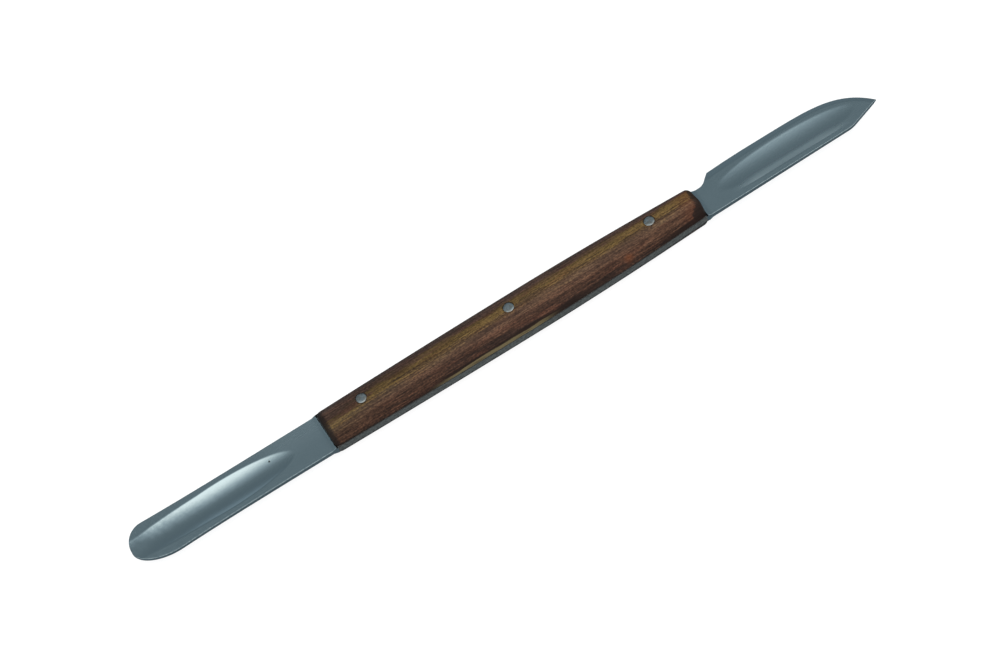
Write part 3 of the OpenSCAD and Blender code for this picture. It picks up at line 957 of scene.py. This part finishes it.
def handle_wood():
    material, node, in_mm, (x, y, z) = new_material("oiled_rosewood")
    colour, shade, noises = wood_layers(node, in_mm, x, y, z)
    colour = wood_knot(node, in_mm, x, colour, noises)
    dirt_and_shade = wood_dirt_and_shade(node, in_mm, x, z, noises)
    # paints shade at the ends and the seat of the wood, and grime round the pins
    colour = node("Mix", {0: dirt_and_shade, 6: colour, 7: WOOD_DARK}, data_type="RGBA").outputs[2]
    colour = wood_streaks(node, x, y, z, colour, noises)
    rough = node("MapRange", [noises["grain"], *WOOD_ROUGHNESS])
    bump = node("Bump", {"Strength": 0.3, "Distance": 0.05 * MM, "Height": shade})
    wood = node("BsdfPrincipled", {
        "Base Color": colour, "Roughness": rough, "Normal": bump, "IOR": 1.45, "Specular IOR Level": 0.25})
    node("OutputMaterial", {"Surface": wood})
    return material


wood = handle_wood()
for scale in (front_scale, rear_scale):
    scale.data.materials.append(wood)
print("scales:", wood.name)

# %% [markdown]
# ## Floor and light
# The tool lies on a plain white floor under a soft overhead light. A little glow of its own keeps the floor
# white, so that the shadow under the tool stays faint.

# %% Floor
FLOOR_SIZE = 6.0
floor_bm = bmesh.new()
bmesh.ops.create_grid(floor_bm, x_segments=2, y_segments=2, size=FLOOR_SIZE / 2)
floor_mesh = bpy.data.meshes.new("floor")
floor_bm.to_mesh(floor_mesh)
floor_bm.free()
floor = bpy.data.objects.new("floor", floor_mesh)
bpy.context.scene.collection.objects.link(floor)
floor.visible_glossy = False
paper = bpy.data.materials.new("white_paper")
paper.use_nodes = True
paper.node_tree.nodes.clear()
paper_node = partial(add_node, paper.node_tree)
white_paper = paper_node("BsdfPrincipled", {
    "Base Color": linear("#707070"), "Roughness": 0.9, "Emission Color": linear("#ffffff"),
    "Emission Strength": 0.9})
paper_node("OutputMaterial", {"Surface": white_paper})
floor_mesh.materials.append(paper)
print("floor:", FLOOR_SIZE, "m square")

# %% [markdown]
# Polished steel shows what stands round it, so the surroundings matter more than the lamps: a bright strip
# overhead, which the hollows catch, and a blue-grey dusk behind the tool, which the flats show. They are
# drawn as colours over the angle from straight up, turned towards the front. A lamp that only lights dull
# surfaces brings out the wood.

# %% Surroundings and lamp
SKY = [
    (-180, "#5a656c"), (-150, "#5a656c"), (-110, "#4e575e"), (-95, "#6a757d"), (-80, "#7d8a94"),
    (-72, "#727e87"), (-65, "#646f77"), (-57, "#5a646b"), (-50, "#5b656c"), (-35, "#5f696f"),
    (-30, "#6a737a"), (-25, "#7b868d"), (-20, "#8e989f"), (-15.5, "#a0aab0"), (-11.7, "#bcc3c7"),
    (-4, "#e9ebec"), (2, "#fbfcfc"), (25, "#fbfcfc"), (60, "#9ea8af"), (90, "#6f7b84"), (110, "#4e575e"),
    (150, "#50595f"), (162, "#5a656c")]
SKY_STRENGTH = 1.3
world = bpy.data.worlds.new("studio")
world.use_nodes = True
world.node_tree.nodes.clear()
sky = partial(add_node, world.node_tree)
direction = sky("SeparateXYZ", [sky("TexCoord").outputs["Generated"]]).outputs
forward = sky("Math", [direction["Y"], -1.0], operation="MULTIPLY")
angle = sky("Math", [forward, direction["Z"]], operation="ARCTAN2")
share = sky("MapRange", [angle, -math.pi, math.pi])
glow = sky("ValToRGB", [share], stops=[((degrees + 180) / 360, linear(tone)) for degrees, tone in SKY])
lit = sky("Background", {"Color": glow, "Strength": SKY_STRENGTH})
seen = sky("Background", {"Color": linear("#fcfcfc"), "Strength": 1.0})
both = sky("MixShader", [sky("LightPath").outputs["Is Camera Ray"], lit, seen])
sky("OutputWorld", {"Surface": both})
bpy.context.scene.world = world

LAMP_TILT = math.radians(20)
lamp_data = bpy.data.lights.new("soft_lamp", "SUN")
lamp_data.energy = 2.4
lamp_data.angle = math.radians(40)
lamp = bpy.data.objects.new("soft_lamp", lamp_data)
lamp.rotation_euler = (LAMP_TILT, 0, 0)
lamp.visible_glossy = False
bpy.context.scene.collection.objects.link(lamp)
bpy.context.scene.view_settings.view_transform = "Standard"
print("sky stops:", len(SKY))

# %% [markdown]
# ## Camera
# The picture was taken from well above the tool, a little to the spoon's side, with a long lens. Its place is
# given by two angles and a distance, a roll turns the tool to the picture's diagonal, and the aim is moved so
# that the middle of the picture falls where it does there.

# %% Camera
AZIMUTH = math.radians(-8.547)
ELEVATION = math.radians(55.537)
ROLL = math.radians(-24.551)
DISTANCE = 1196 * MM
LENS = 221.4
TARGET = Vector((-2.2, 0, 4.3)) * MM
AIM_RIGHT = -0.805 * MM
AIM_UP = -1.635 * MM
level = Vector((math.sin(AZIMUTH), -math.cos(AZIMUTH), 0))
back = level * math.cos(ELEVATION) + Vector((0, 0, math.sin(ELEVATION)))
level_right = Vector((0, 0, 1)).cross(back).normalized()
level_up = back.cross(level_right)
right = level_right * math.cos(ROLL) + level_up * math.sin(ROLL)
up = level_up * math.cos(ROLL) - level_right * math.sin(ROLL)
aim = TARGET + right * AIM_RIGHT + up * AIM_UP
camera_data = bpy.data.cameras.new("camera")
camera_data.lens = LENS
camera_data.sensor_width = 36
camera = bpy.data.objects.new("camera", camera_data)
turn = Matrix((right, up, back)).transposed().to_4x4()
camera.matrix_world = Matrix.Translation(aim + back * DISTANCE) @ turn
bpy.context.scene.collection.objects.link(camera)
bpy.context.scene.camera = camera
print("camera at", [round(c, 3) for c in camera.matrix_world.translation])
